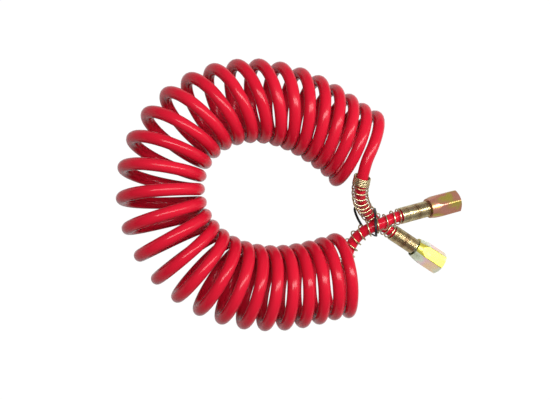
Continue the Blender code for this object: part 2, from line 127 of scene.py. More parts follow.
# ---- Spring guards: curls and their pitch, from the nut to the loose end ----
WIRE_DIAMETER = 0.0015
GUARD_RADIUS = FERRULE_DIAMETER / 2 + GAP + WIRE_DIAMETER / 2
CLOSE_PITCH = 0.00153
STAGES_A = [
    (19.8, CLOSE_PITCH), (3, 0.0055), (3, 0.0078), (4, 0.0104), (1, 0.0097), (1, 0.0070),
    (1, 0.0055), (5, CLOSE_PITCH),
]
STAGES_B = [(22.1, CLOSE_PITCH), (1, 0.0055), (9, 0.0092), (2.5, CLOSE_PITCH)]
PITCH_EASE = 0.3                # curls on each side of a stage's end, where the pitch changes
WIRE_WANDER = 0.00018           # how far an open curl strays from a true circle
WANDER_FADE = 2                 # curls over which it starts to stray


class End(NamedTuple):
    """What differs between the two ends of the hose."""

    route: list
    start: tuple
    heading: float
    stages: list
    first_angle: float          # of the wire round the fitting's axis
    seed: int
    ridge_up: bool              # the nut lies with a long edge up, and not a facet
    reflection_tints: tuple                # film on the facets, from the top round: 0 golden, 1 pale film with painted reflection of the white surroundings


ENDS = {
    "a": End(LEG_A_ROUTE, FITTING_A_START, FITTING_A_HEADING, STAGES_A, 3.9, 0,
             False, (0, 1, 1, 0, 1, 1)),
    "b": End(LEG_B_ROUTE, FITTING_B_START, FITTING_B_HEADING, STAGES_B, -1.3, 1,
             True, (0, 0, 0, 0, 0, 0)),
}

# ---- Edges of the nuts, ferrules and stems ----
FACET_AREA = 5e-5               # faces above this size are shaded flat
NUT_SHARP = radians(28)
RIDGE_EASE = 0.0009             # cut off both sides of a long edge, which is then rounded
RIDGE_STEPS = 4
FERRULE_EASE = NUT_CHAMFER / 3
EASE_SHARE = 0.4                # of a side, which an eased corner takes at most
TOOTH_CREST = 1.6               # height of a thread's tooth before it is cut off at 1
TOOTH_FLANK = 2.6               # how fast it falls to the next tooth

# ---- Cable tie ----
TIE_WIDTH = 0.0027
TIE_THICKNESS = 0.0012
TIE_EASE = 0.0003               # of the band's long edges
TIE_HEAD = (0.0060, 0.0052, 0.0042)
TIE_HEAD_EASE = 0.0006
TIE_HEAD_PLACE = (0.0906, -0.0061)
TIE_ROUTE = [                   # a little closer to the hose than the solid's
    (0.0903, -0.0119, 0.0366), (0.0885, -0.0088, 0.0389), (0.0869, -0.0043, 0.0395),
    (0.0863, 0.0011, 0.0378), (0.0868, 0.0081, 0.0328), (0.0889, 0.0130, 0.0256),
    (0.0915, 0.0159, 0.0180), (0.0901, 0.0175, 0.0101), (0.0856, 0.0184, 0.0051),
    (0.0793, 0.0178, 0.0031), (0.0749, 0.0138, 0.0028), (0.0794, 0.0051, 0.0029),
    (0.0868, -0.0030, 0.0028), (0.0917, -0.0068, 0.0032), (0.0950, -0.0090, 0.0068),
    (0.0959, -0.0111, 0.0150), (0.0947, -0.0136, 0.0274),
]

# ---- Fineness ----
HOSE_POINTS = 44                # along one turn
HOSE_SIDES = 32
LEG_STEP = 0.0035
TURN_NUDGE = 0.001              # of a turn, to tell which way the coil's ends point
WIRE_POINTS = 24                # along one curl
WIRE_SIDES = 10
TIE_POINTS = 12                 # from one point of the loop to the next
ROUND_SIDES = 96
RING_SIDES = 16
THREAD_SIDES = 60               # round one turn of the thread
THREAD_ROWS = 8                 # along one pitch of the thread
SHARP = radians(30)             # bends from here on keep a sharp edge

# ---- Camera, lamps and stage ----
CAMERA_PLACE = (-0.20042, -0.10245, 0.71126)
CAMERA_FORWARD = (0.247372, 0.141709, -0.958502)
CAMERA_UP = (-0.224018, 0.970809, 0.085713)
CAMERA_LENS = 44.70
STRIP_PLACE = (0.3, 0.2, 1.35)  # a long soft lamp overhead, on the nuts' side
STRIP_TURN = (0.0, 0.0, radians(15))
STRIP_SIZE = (2.5, 0.34)
STRIP_POWER = 45.0
SIDE_PLACE = (1.7, 0.5, 0.8)    # a dim one at the side of the nuts
SIDE_TURN = (0.0, radians(65), radians(16))
SIDE_SIZE = (1.0, 1.6)
SIDE_POWER = 5.0
WORLD_LEVEL = 0.02              # of the plain light from all sides
WORLD_SEEN = 0.25               # what shiny pieces see of it
FLOOR_SEEN = 0.25               # and of the white floor
FLOOR_WHITE = 0.98              # what the camera sees as white; the rest takes the shadow
FLOOR_GLOW = 1.03
FLOOR_SIZE = 6.0
FLOOR_DROP = 0.0002


# ---- Nodes: values with operators, and one method for every other node ----

class Value:
    """One output socket; arithmetic on it adds Math nodes."""

    def __init__(self, graph, socket):
        self.graph = graph
        self.socket = socket

    def maths(self, operation, first, second):
        return self.graph.node("ShaderNodeMath", {"operation": operation}, {0: first, 1: second})

    def __add__(self, other):
        return self.maths("ADD", self, other)

    __radd__ = __add__

    def __sub__(self, other):
        return self.maths("SUBTRACT", self, other)

    def __rsub__(self, other):
        return self.maths("SUBTRACT", other, self)

    def __mul__(self, other):
        return self.maths("MULTIPLY", self, other)

    __rmul__ = __mul__

    def out(self, name):
        """Another output of the same node."""
        return Value(self.graph, self.socket.node.outputs[name])


class Graph:
    """A node tree that is filled by calls."""

    def __init__(self, tree):
        self.tree = tree

    def node(self, kind, settings=None, inputs=None, output=0):
        made = self.tree.nodes.new(kind)
        for name, value in (settings or {}).items():
            if name == "stops":
                self.set_stops(made.color_ramp, value)
            else:
                setattr(made, name, value)
        for key, value in (inputs or {}).items():
            self.feed(made.inputs[key], value)
        if not made.outputs:
            return None
        return Value(self, made.outputs[output])

    def feed(self, socket, value):
        if isinstance(value, Value):
            self.tree.links.new(value.socket, socket)
        else:
            socket.default_value = value

    def set_stops(self, ramp, stops):
        while len(ramp.elements) < len(stops):
            ramp.elements.new(0.5)
        for element, (place, colour) in zip(ramp.elements, stops):
            element.position = place
            element.color = (*colour, 1.0)


class Finish(Graph):
    """A material whose varying values are worked out by nodes."""

    def __init__(self, name, colour, roughness, metallic=0.0, **constants):
        self.material = bpy.data.materials.new(name)
        self.material.use_nodes = True
        super().__init__(self.material.node_tree)
        self.shader = self.tree.nodes["Principled BSDF"]
        self.set("Base Color", (*colour, 1.0))
        self.set("Roughness", roughness)
        self.set("Metallic", metallic)
        for key, value in constants.items():
            self.set(key.replace("_", " "), value)

    def set(self, socket, value):
        self.feed(self.shader.inputs[socket], value)

    def attribute(self, name, output="Vector"):
        return self.node("ShaderNodeAttribute", {"attribute_name": name}, {}, output)

    def stretched(self, vector, scale):
        return self.node("ShaderNodeMapping", {}, {"Vector": vector, "Scale": scale})

    def noise(self, vector, scale, detail):
        return self.node("ShaderNodeTexNoise", {},
                         {"Vector": vector, "Scale": scale, "Detail": detail})

    def ramp(self, value, stops):
        return self.node("ShaderNodeValToRGB", {"stops": stops}, {"Fac": value})

    def span(self, value, low, high, to_low=0.0, to_high=1.0):
        """A value carried from one range to another, and kept inside it."""
        return self.node("ShaderNodeMapRange", {"clamp": True},
                         {"Value": value, "From Min": low, "From Max": high,
                          "To Min": to_low, "To Max": to_high})

    def blend(self, factor, first, second):
        """A colour between two colours."""
        return self.node("ShaderNodeMix", {"data_type": "RGBA"},
                         {"Factor": factor, 6: first, 7: second}, 2)

    def bump(self, height, strength, distance):
        self.set("Normal", self.node("ShaderNodeBump", {},
                                     {"Height": height, "Strength": strength,
                                      "Distance": distance}))


def rgb(red, green, blue):
    return (red, green, blue, 1.0)


# ---- Finishes ----

# Colours of the film on the nuts, as stops from 0 to 1; the pale one is the film's colours mixed
# with painted reflection of the white surroundings, for the side facets.
PALE_FILM_AND_REFLECTION = [
    (0.0, (0.56, 0.61, 0.44)), (0.35, (0.66, 0.73, 0.58)), (0.55, (0.80, 0.53, 0.57)),
    (0.75, (0.85, 0.59, 0.35)), (1.0, (0.67, 0.70, 0.54)),
]
GOLDEN_FILM = [
    (0.0, (0.46, 0.42, 0.07)), (0.5, (0.52, 0.46, 0.06)), (0.85, (0.56, 0.47, 0.07)),
    (1.0, (0.60, 0.46, 0.12)),
]
PINK_FILM = [
    (0.0, (0.40, 0.33, 0.06)), (0.35, (0.43, 0.30, 0.08)), (0.6, (0.48, 0.21, 0.13)),
    (1.0, (0.50, 0.21, 0.16)),
]


def hose_finish():
    finish = Finish("hose_nylon", (0.48, 0.007, 0.022), 0.2, Specular_IOR_Level=0.15)
    skin = finish.attribute("skin")
    cloud = finish.noise(finish.stretched(skin, (60.0, 60.0, 18.0)), 1.0, 2.0)
    fine = finish.noise(skin, 900.0, 2.0)
    drawn = finish.noise(finish.stretched(skin, (1400.0, 1400.0, 12.0)), 1.0, 2.0)
    tint = finish.span(cloud, 0.3, 0.7)
    finish.set("Base Color", finish.blend(tint, rgb(0.455, 0.006, 0.020),
                                          rgb(0.505, 0.0085, 0.025)))
    finish.set("Roughness", finish.span(cloud * 0.7 + fine * 0.3, 0.35, 0.65, 0.15, 0.22))
    finish.bump(drawn * 0.6 + fine * 0.4, 0.08, 0.0001)
    return finish.material


def wire_finish():
    finish = Finish("guard_wire", (0.50, 0.42, 0.22), 0.28, 0.92)
    skin = finish.attribute("skin")
    patch = finish.noise(finish.stretched(skin, (200.0, 200.0, 3.0)), 1.0, 1.0)
    drawn = finish.noise(finish.stretched(skin, (4000.0, 4000.0, 90.0)), 1.0, 2.0)
    colour = finish.ramp(patch, [(0.30, (0.32, 0.21, 0.11)), (0.45, (0.46, 0.36, 0.19)),
                                 (0.58, (0.62, 0.56, 0.35)), (0.72, (0.52, 0.37, 0.23))])
    finish.set("Base Color", colour)
    finish.set("Roughness", finish.span(drawn, 0.3, 0.7, 0.20, 0.28))
    finish.bump(drawn, 0.02, 0.00004)
    return finish.material


def nut_finish(name, golden, metallic):
    """Yellow zinc with a thin iridescent film in golden colours, and pale ones on the facets
    marked for it, which are the film's colours with painted reflection of the white surroundings.
    """
    finish = Finish(name, (0.66, 0.52, 0.27), 0.28, metallic)
    local = finish.attribute("bench")
    facet = finish.attribute("facet", "Fac")
    moved = finish.node("ShaderNodeMapping", {}, {"Vector": local, "Location": facet * 0.07})
    large = finish.noise(finish.stretched(moved, (60.0, 90.0, 90.0)), 1.0, 1.0)
    cloud = finish.noise(finish.stretched(moved, (180.0, 240.0, 240.0)), 1.0, 2.0)
    grain = finish.noise(finish.stretched(local, (400.0, 2600.0, 2600.0)), 1.0, 2.0)
    ahead = finish.node("ShaderNodeSeparateXYZ", {}, {"Vector": local})
    film = finish.span(large * 0.72 + cloud * 0.28, 0.32, 0.62)
    drift = finish.span(ahead * (1.0 / NUT_LENGTH) * 0.75 + film * 0.3, 0.1, 0.95)
    # the pale colours on the marked side facets are painted reflection of the white surroundings,
    # mixed with the film's colours
    colour = finish.blend(finish.attribute("tint", "Fac"), finish.ramp(film, golden),
                          finish.ramp(drift, PALE_FILM_AND_REFLECTION))
    finish.set("Base Color", colour)
    finish.set("Roughness", finish.span(grain, 0.3, 0.7, 0.24, 0.34))
    finish.bump(grain, 0.012, 0.00004)
    return finish.material


def turned_finish(name, light, dark, roughness):
    """Metal from a lathe: fine rings round the axis, and a little tarnish."""
    finish = Finish(name, light, roughness, 1.0)
    local = finish.attribute("bench")
    rings = finish.noise(finish.stretched(local, (5200.0, 30.0, 30.0)), 1.0, 2.0)
    patch = finish.noise(local, 260.0, 3.0)
    finish.set("Base Color", finish.blend(finish.span(patch, 0.35, 0.7), rgb(*light), rgb(*dark)))
    finish.set("Roughness", finish.span(rings, 0.3, 0.7, roughness * 0.75, roughness * 1.3))
    finish.bump(rings, 0.25, 0.00005)
    return finish.material


def rubber_finish():
    finish = Finish("seal_rubber", (0.02, 0.02, 0.02), 0.55)
    local = finish.attribute("bench")
    dust = finish.noise(local, 1500.0, 3.0)
    finish.set("Base Color", finish.blend(dust, rgb(0.015, 0.015, 0.015), rgb(0.04, 0.04, 0.04)))
    finish.set("Roughness", finish.span(dust, 0.3, 0.7, 0.45, 0.65))
    return finish.material


def tie_finish():
    finish = Finish("tie_nylon", (0.006, 0.006, 0.007), 0.5, Specular_IOR_Level=0.25)
    place = finish.node("ShaderNodeTexCoord", {}, {}, "Object")
    fine = finish.noise(place, 1800.0, 2.0)
    cloud = finish.noise(place, 160.0, 2.0)
    finish.set("Base Color", finish.blend(cloud, rgb(0.004, 0.004, 0.005),
                                          rgb(0.010, 0.010, 0.011)))
    finish.set("Roughness", finish.span(fine, 0.3, 0.7, 0.42, 0.6))
    finish.bump(fine, 0.1, 0.00005)
    return finish.material


def make_finishes():
    return {
        "hose": hose_finish(),
        "wire": wire_finish(),
        "nut_a": nut_finish("nut_zinc_a", GOLDEN_FILM, 0.5),
        "nut_b": nut_finish("nut_zinc_b", PINK_FILM, 0.6),
        "ferrule": turned_finish("ferrule_steel", (0.60, 0.50, 0.30), (0.45, 0.34, 0.20), 0.35),
        "stem": turned_finish("stem_brass", (0.72, 0.52, 0.22), (0.50, 0.34, 0.14), 0.28),
        "seal": rubber_finish(),
        "tie": tie_finish(),
    }


# ---- Middle line of the coil and the legs ----

def bend_at(turn):
    away = min(abs(turn - TURNS / 2) / (TURNS / 2), 1.0)
    return BEND_END + (BEND_MIDDLE - BEND_END) * (1 - away ** BEND_FADE)


def half_axis(direction):
    """Walk from the middle turn to one end and past it, keeping the inside pitch."""
    x, y, heading = -BACK_TO_ORIGIN, 0.0, -pi / 2
    rows = [(TURNS / 2, x, y, heading)]
    for step in range(int((TURNS / 2 + 1) * WALK_STEPS)):
        turn = TURNS / 2 + direction * (step + 0.5) / WALK_STEPS
        bend, pitch = bend_at(turn), np.interp(turn, PLACES, INNER_PITCHES)
        length = direction * pitch / (1 - bend * TURN_RADIUS) / WALK_STEPS
        x += cos(heading + bend * length / 2) * length
        y += sin(heading + bend * length / 2) * length
        heading += bend * length
        rows.append((TURNS / 2 + direction * (step + 1) / WALK_STEPS, x, y, heading))
    return rows


def coil_points(turns):
    """The hose's middle at an array of turns; whole turns are at the top."""
    axis = np.array(half_axis(-1)[:0:-1] + half_axis(1))
    x, y, heading = (np.interp(turns, axis[:, 0], axis[:, k]) for k in (1, 2, 3))
    lean, nod = np.interp(turns, PLACES, LEANS), np.interp(turns, PLACES, NODS)
    angle = pi / 2 - 2 * pi * turns
    flare = FLARE * np.clip(1 - turns / FLARE_TURNS, 0, None) ** 2
    out, ahead = (TURN_RADIUS + flare) * np.cos(angle), lean * np.cos(angle) + nod * np.sin(angle)
    height = TURN_RADIUS + HOSE_DIAMETER / 2 + TURN_RADIUS * np.sin(angle)
    return np.stack([x + out * np.sin(heading) + ahead * np.cos(heading),
                     y - out * np.cos(heading) + ahead * np.sin(heading), height], axis=1)


def smooth(spots, start_way, end_way):
    """Cubic curve through the points, leaving and arriving along the given ways."""
    spots = np.array([tuple(p) for p in spots])
    spans = np.linalg.norm(np.diff(spots, axis=0), axis=1)
    size = len(spots)
    table, wanted = np.zeros((size, size)), np.zeros((size, 3))
    table[0, 0] = table[-1, -1] = 1
    wanted[0], wanted[-1] = start_way, end_way
    for k in range(1, size - 1):
        a, b = spans[k - 1], spans[k]
        table[k, k - 1], table[k, k], table[k, k + 1] = b, 2 * (a + b), a
        wanted[k] = 3 * (b * (spots[k] - spots[k - 1]) / a + a * (spots[k + 1] - spots[k]) / b)
    ways = np.linalg.solve(table, wanted)
    fine = []
    for k in range(size - 1):
        count = max(2, int(spans[k] / ROUTE_STEP))
        for u in np.arange(count) / count:
            fine.append((2 * u + 1) * (1 - u) ** 2 * spots[k]
                        + u * (1 - u) ** 2 * spans[k] * ways[k]
                        + u * u * (3 - 2 * u) * spots[k + 1]
                        + u * u * (u - 1) * spans[k] * ways[k + 1])
    fine.append(spots[-1])
    return np.array(fine)


def evenly(points, step):
    """The same line with points about one step apart."""
    along = np.concatenate([[0.0], np.cumsum(np.linalg.norm(np.diff(points, axis=0), axis=1))])
    at = np.linspace(0, along[-1], max(2, round(along[-1] / step) + 1))
    return np.stack([np.interp(at, along, points[:, k]) for k in range(3)], axis=1)


def leg_line(begin, leaving, route, place):
    """From the coil's end through the route and on along the fitting, in fine steps."""
    arriving = place.to_3x3() @ Vector((1, 0, 0))
    curve = smooth([begin, *route, place.translation], leaving, arriving)
    front = np.array(place @ Vector((HOSE_FRONT, 0, 0)))
    straight = evenly(np.array([curve[-1], front]), ROUTE_STEP)[1:]
    return np.vstack([curve, straight])


def end_lines():
    """For each end, the place of its fitting and the line of its leg."""
    coil = coil_points(np.array([0.0, TURN_NUDGE, TURNS - TURN_NUDGE, float(TURNS)]))
    tips = {"a": (coil[0], coil[1]), "b": (coil[3], coil[2])}
    lines = {}
    for letter, end in ENDS.items():
        tip, before = tips[letter]
        leaving = (tip - before) / np.linalg.norm(tip - before)
        place = Matrix.Translation(end.start) @ Matrix.Rotation(end.heading, 4, "Z")
        lines[letter] = (place, leg_line(tip, leaving, end.route, place))
    return lines


# ---- Geometry node trees ----

def new_tree(name, inputs):
    """A geometry tree with named inputs, and the geometry that goes in and comes out."""
    tree = bpy.data.node_groups.new(name, "GeometryNodeTree")
    tree.interface.new_socket("Geometry", in_out="INPUT", socket_type="NodeSocketGeometry")
    for label, kind in inputs:
        tree.interface.new_socket(label, in_out="INPUT", socket_type=kind)
    tree.interface.new_socket("Geometry", in_out="OUTPUT", socket_type="NodeSocketGeometry")
    graph = Graph(tree)
    source = graph.node("NodeGroupInput", {}, {}, "Geometry")
    return graph, source


def end_tree(graph, geometry, finish):
    real = graph.node("GeometryNodeRealizeInstances", {}, {"Geometry": geometry})
    painted = graph.node("GeometryNodeSetMaterial", {}, {"Geometry": real, "Material": finish})
    graph.node("NodeGroupOutput", {}, {"Geometry": painted})
    return graph.tree


def capture(graph, geometry, kind, label, value):
    """Keep a value on the points; gives the geometry and the kept value."""
    made = graph.tree.nodes.new("GeometryNodeCaptureAttribute")
    made.capture_items.new(kind, label)
    graph.feed(made.inputs["Geometry"], geometry)
    graph.feed(made.inputs[label], value)
    return Value(graph, made.outputs["Geometry"]), Value(graph, made.outputs[label])


def sweep_tree():
    """A round tube along a line, with its straightened place kept as "skin"."""
    graph, source = new_tree("round_tube", [
        ("Radius", "NodeSocketFloat"), ("Sides", "NodeSocketInt"),
        ("Finish", "NodeSocketMaterial")])
    line = graph.node("GeometryNodeMeshToCurve", {}, {"Mesh": source})
    length = graph.node("GeometryNodeSplineParameter", {}, {}, "Length")
    line, along = capture(graph, line, "FLOAT", "along", length)
    ring = graph.node("GeometryNodeCurvePrimitiveCircle", {},
                      {"Resolution": source.out("Sides"), "Radius": source.out("Radius")})
    place = graph.node("GeometryNodeInputPosition")
    ring, across = capture(graph, ring, "VECTOR", "across", place)
    tube = graph.node("GeometryNodeCurveToMesh", {},
                      {"Curve": line, "Profile Curve": ring, "Fill Caps": True})
    parts = graph.node("ShaderNodeSeparateXYZ", {}, {"Vector": across})
    skin = graph.node("ShaderNodeCombineXYZ", {},
                      {"X": parts, "Y": parts.out("Y"), "Z": along})
    tube = graph.node("GeometryNodeStoreNamedAttribute",
                      {"data_type": "FLOAT_VECTOR", "domain": "POINT"},
                      {"Geometry": tube, "Name": "skin", "Value": skin})
    tube = graph.node("GeometryNodeSetShadeSmooth", {}, {"Geometry": tube})
    return end_tree(graph, tube, source.out("Finish"))


def plain_mesh(thing):
    """The evaluated mesh of an object, which is then removed."""
    bpy.context.view_layer.update()
    seen = thing.evaluated_get(bpy.context.evaluated_depsgraph_get())
    mesh = bpy.data.meshes.new_from_object(seen, preserve_all_data_layers=True,
                                           depsgraph=bpy.context.evaluated_depsgraph_get())
    bpy.data.objects.remove(thing, do_unlink=True)
    return mesh


def mesh_of(shape, name):
    """The mesh of a shape that was built up, which is then freed."""
    mesh = bpy.data.meshes.new(name)
    shape.to_mesh(mesh)
    shape.free()
    return mesh


def shaded(mesh, sharp=SHARP):
    """Smooth over the mesh's gentle bends, with its sharp edges kept."""
    mesh.shade_smooth()
    mesh.set_sharp_from_angle(angle=sharp)
    return mesh


def link(name, mesh, finish=None):
    thing = bpy.data.objects.new(name, mesh)
    bpy.context.scene.collection.objects.link(thing)
    if finish is not None:
        mesh.materials.clear()
        mesh.materials.append(finish)
    mesh.name = name
    return thing


def grown(name, mesh, tree, **inputs):
    """A piece made by a geometry tree from a start mesh."""
    guide = link(name + "_guide", mesh)
    growth = guide.modifiers.new("grow", "NODES")
    growth.node_group = tree
    for item in tree.interface.items_tree:
        if item.in_out == "INPUT" and item.name in inputs:
            growth[item.identifier] = inputs[item.name]
    return link(name, plain_mesh(guide))


def line_mesh(points):
    mesh = bpy.data.meshes.new("line")
    mesh.from_pydata([tuple(p) for p in points], [(k, k + 1) for k in range(len(points) - 1)], [])
    return mesh


# ---- Hose ----

def make_hose(leg_a, leg_b, tree, finish):
    coil = coil_points(np.arange(TURNS * HOSE_POINTS + 1) / HOSE_POINTS)
    line = np.vstack([evenly(leg_a, LEG_STEP)[:0:-1], coil, evenly(leg_b, LEG_STEP)[1:]])
    hose = grown("air_hose", line_mesh(line), tree,
                 Radius=HOSE_DIAMETER / 2, Sides=HOSE_SIDES, Finish=finish)
    return hose, line


# ---- Spring guards ----

def carried_sides(points):
    """Ways along a line, and one sideways direction carried along it without a twist."""
    ways = np.gradient(points, axis=0)
    ways /= np.linalg.norm(ways, axis=1)[:, None]
    side = np.cross(ways[0], (1.0, 0.0, 0.0))
    sides = []
    for way in ways:
        side = side - way * np.dot(side, way)
        side = side / np.linalg.norm(side)
        sides.append(side)
    return ways, np.array(sides)


def guard_line(leg, end):
    """The wire's middle, from the nut to the loose end."""
    reach = CLOSE_LENGTH - HOSE_FRONT
    tip = leg[-1] + (leg[-1] - leg[-2]) / np.linalg.norm(leg[-1] - leg[-2]) * reach
    line = np.vstack([leg, tip])
    ways, sides = carried_sides(line)
    along = np.concatenate([[0.0], np.cumsum(np.linalg.norm(np.diff(line, axis=0), axis=1))])
    stops = np.cumsum([curls for curls, _ in end.stages])
    count = int(stops[-1] * WIRE_POINTS)
    curl = np.arange(count + 1) / WIRE_POINTS
    knots, pitches = [0.0], [end.stages[0][1]]
    for (curls, pitch), stop in zip(end.stages, stops):
        knots += [stop - curls + PITCH_EASE, stop - PITCH_EASE]
        pitches += [pitch, pitch]
    pitch = np.interp(curl, knots, pitches)
    place = along[-1] - GAP - WIRE_DIAMETER / 2 - np.cumsum(pitch) / WIRE_POINTS
    random = np.random.default_rng(end.seed)
    rough = random.normal(0, WIRE_WANDER, int(stops[-1]) + 3)
    loose = np.clip((curl - stops[0]) / WANDER_FADE, 0, 1)
    radius = GUARD_RADIUS + loose * np.interp(curl, np.arange(len(rough)), rough)
    middle, way, side = (
        np.stack([np.interp(place, along, rows[:, k]) for k in range(3)], axis=1)
        for rows in (line, ways, sides))
    way /= np.linalg.norm(way, axis=1)[:, None]
    side -= way * (side * way).sum(1)[:, None]
    side /= np.linalg.norm(side, axis=1)[:, None]
    angle = (2 * pi * curl + end.first_angle)[:, None]
    return middle + radius[:, None] * (side * np.cos(angle) + np.cross(way, side) * np.sin(angle))


# ---- Turned pieces and nuts, made along X and then laid in place ----

def turned(profile, sharp=SHARP):
    """A closed outline of (along, radius) points spun round the X axis."""
    shape = bmesh.new()
    rings = []
    for step in range(ROUND_SIDES):
        angle = 2 * pi * step / ROUND_SIDES
        rings.append([shape.verts.new((along, radius * cos(angle), radius * sin(angle)))
                      for along, radius in profile])
    count = len(profile)
    for step in range(ROUND_SIDES):
        here, there = rings[step], rings[(step + 1) % ROUND_SIDES]
        for k in range(count):
            shape.faces.new((here[k], here[(k + 1) % count],
                             there[(k + 1) % count], there[k]))
    bmesh.ops.remove_doubles(shape, verts=shape.verts, dist=1e-7)
    bmesh.ops.recalc_face_normals(shape, faces=shape.faces)
    return shaded(mesh_of(shape, "turned"), sharp)


def eased(profile, radius):
    """Cut each corner of an outline by a short straight."""
    points = [Vector(p) for p in profile]
    count = len(points)
    out = []
    for k, point in enumerate(points):
        before, after = points[k - 1] - point, points[(k + 1) % count] - point
        cut = min(radius, before.length * EASE_SHARE, after.length * EASE_SHARE)
        out.append(tuple(point + before.normalized() * cut))
        out.append(tuple(point + after.normalized() * cut))
    return out


def laid(name, mesh, place, finish):
    """Keep the piece's own coordinates as "bench", then move its mesh to its place."""
    kept = mesh.attributes.new("bench", "FLOAT_VECTOR", "POINT")
    spots = np.array([v.co for v in mesh.vertices], np.float32)
    kept.data.foreach_set("vector", spots.ravel())
    mesh.transform(place)
    return link(name, mesh, finish)


def ferrule_mesh():
    outer, inner, lip = FERRULE_DIAMETER / 2, FERRULE_BORE / 2, SHANK_DIAMETER / 2 + GAP
    return turned(eased([
        (FERRULE_REAR, inner), (FERRULE_REAR, outer), (FERRULE_FRONT, outer),
        (FERRULE_FRONT, lip), (FERRULE_FRONT - LIP_THICKNESS, lip),
        (FERRULE_FRONT - LIP_THICKNESS, inner),
    ], FERRULE_EASE))


def stem_mesh():
    """Hollow stem: barbed tail, shank, head with a seal groove, and cone nose."""
    bore, tail, barb = STEM_BORE / 2, TAIL_DIAMETER / 2, BARB_DIAMETER / 2
    profile = [(STEM_FRONT, bore), (TAIL_REAR, bore), (TAIL_REAR, tail)]
    step = (TAIL_LENGTH - NUT_CHAMFER) / BARBS
    for k in range(BARBS):
        crest = TAIL_REAR + (k + 1) * step
        profile += [(crest, barb), (crest, tail)]
    profile += [
        (SHANK_REAR, tail), (SHANK_REAR, SHANK_DIAMETER / 2), (HEAD_REAR, SHANK_DIAMETER / 2),
        (HEAD_REAR, HEAD_DIAMETER / 2), (GROOVE_REAR, HEAD_DIAMETER / 2),
        (GROOVE_REAR, GROOVE_DIAMETER / 2), (GROOVE_FRONT, GROOVE_DIAMETER / 2),
        (GROOVE_FRONT, NOSE_DIAMETER / 2), (STEM_FRONT, NOSE_TIP_DIAMETER / 2),
    ]
    return turned(eased(profile, GAP))


def seal_mesh():
    radius = SEAL_SECTION / 2
    middle, centre = GROOVE_DIAMETER / 2 + GAP + radius, (GROOVE_REAR + GROOVE_FRONT) / 2
    angles = [2 * pi * k / RING_SIDES for k in range(RING_SIDES)]
    return turned([(centre + radius * cos(a), middle + radius * sin(a)) for a in angles],
                  sharp=pi)


def thread_mesh(start, end):
    """A rod with a helical thread; cut out of the nut it leaves the nut's thread."""
    rows = int((end - start) / THREAD_PITCH * THREAD_ROWS)
    shape = bmesh.new()
    rings = []
    for row in range(rows + 1):
        along = start + (end - start) * row / rows
        ease = min(1.0, (along - start) / THREAD_PITCH)
        ring = []
        for step in range(THREAD_SIDES):
            angle = 2 * pi * step / THREAD_SIDES
            phase = (along / THREAD_PITCH - step / THREAD_SIDES) % 1.0
            tooth = min(1.0, max(0.0, TOOTH_CREST - TOOTH_FLANK * abs(2 * phase - 1)))
            radius = (THREAD_MINOR + (THREAD_MAJOR - THREAD_MINOR) * tooth * ease) / 2
            ring.append(shape.verts.new((along, radius * cos(angle), radius * sin(angle))))
        rings.append(ring)
    for here, there in zip(rings[:-1], rings[1:]):
        for k in range(THREAD_SIDES):
            j = (k + 1) % THREAD_SIDES
            shape.faces.new((here[k], here[j], there[j], there[k]))
    shape.faces.new(rings[0])
    shape.faces.new(rings[-1])
    bmesh.ops.recalc_face_normals(shape, faces=shape.faces)
    return mesh_of(shape, "thread")


def carved(mesh, steps):
    """Shape a mesh with others, one after the other."""
    work = link("work", mesh)
    cutters = []
    for operation, cutter in steps:
        tool = link("tool", cutter)
        cutters.append(tool)
        boolean = work.modifiers.new("shape", "BOOLEAN")
        boolean.object = tool
        boolean.operation = operation
        boolean.solver = "EXACT"
    made = plain_mesh(work)
    for tool in cutters:
        bpy.data.objects.remove(tool, do_unlink=True)
    return made


def nut_mesh(ridge_up):
    """Long hexagon nut with a turned taper at the rear and a real thread inside."""
    corner = NUT_FLATS / 2 / cos(pi / 6)
    wide = corner + NUT_CHAMFER
    shape = bmesh.new()
    bmesh.ops.create_cone(shape, cap_ends=True, segments=6, radius1=corner, radius2=corner,
                          depth=NUT_LENGTH)
    turn = Matrix.Rotation(pi / 6 if ridge_up else 0, 4, "Z")
    lay = Matrix.Translation((NUT_LENGTH / 2, 0, 0)) @ Matrix.Rotation(pi / 2, 4, "Y")
    bmesh.ops.transform(shape, matrix=lay @ turn, verts=shape.verts)
    ridges = [edge for edge in shape.edges
              if abs(edge.verts[0].co.x - edge.verts[1].co.x) > NUT_LENGTH / 2]
    bmesh.ops.bevel(shape, geom=ridges, offset=RIDGE_EASE, segments=RIDGE_STEPS,
                    affect="EDGES", profile=0.5)
    taper = (wide - NUT_REAR_DIAMETER / 2) / (corner - NUT_REAR_DIAMETER / 2)
    envelope = turned([
        (0, 0), (0, NUT_REAR_DIAMETER / 2), (NUT_TAPER_LENGTH * taper, wide),
        (NUT_LENGTH - NUT_FRONT_CHAMFER, wide), (NUT_LENGTH, corner - NUT_FRONT_CHAMFER),
        (NUT_LENGTH, 0)])
    deep = NUT_LENGTH + MOUTH_CHAMFER
    thread, shank = THREAD_MINOR / 2, SHANK_DIAMETER / 2 + GAP
    major = THREAD_MAJOR / 2
    hollow = turned([
        (-NUT_CHAMFER, 0), (-NUT_CHAMFER, shank), (NUT_SHOULDER, shank), (NUT_SHOULDER, thread),
        (NUT_LENGTH - MOUTH_CHAMFER, thread), (deep, thread + 2 * MOUTH_CHAMFER), (deep, 0)])
    rod = thread_mesh(NUT_SHOULDER + major - thread, deep)
    made = carved(mesh_of(shape, "hexagon"), [
        ("INTERSECT", envelope), ("DIFFERENCE", hollow), ("DIFFERENCE", rod)])
    shaded(made, NUT_SHARP)
    for face in made.polygons:
        if face.area > FACET_AREA:
            face.use_smooth = False
    return made


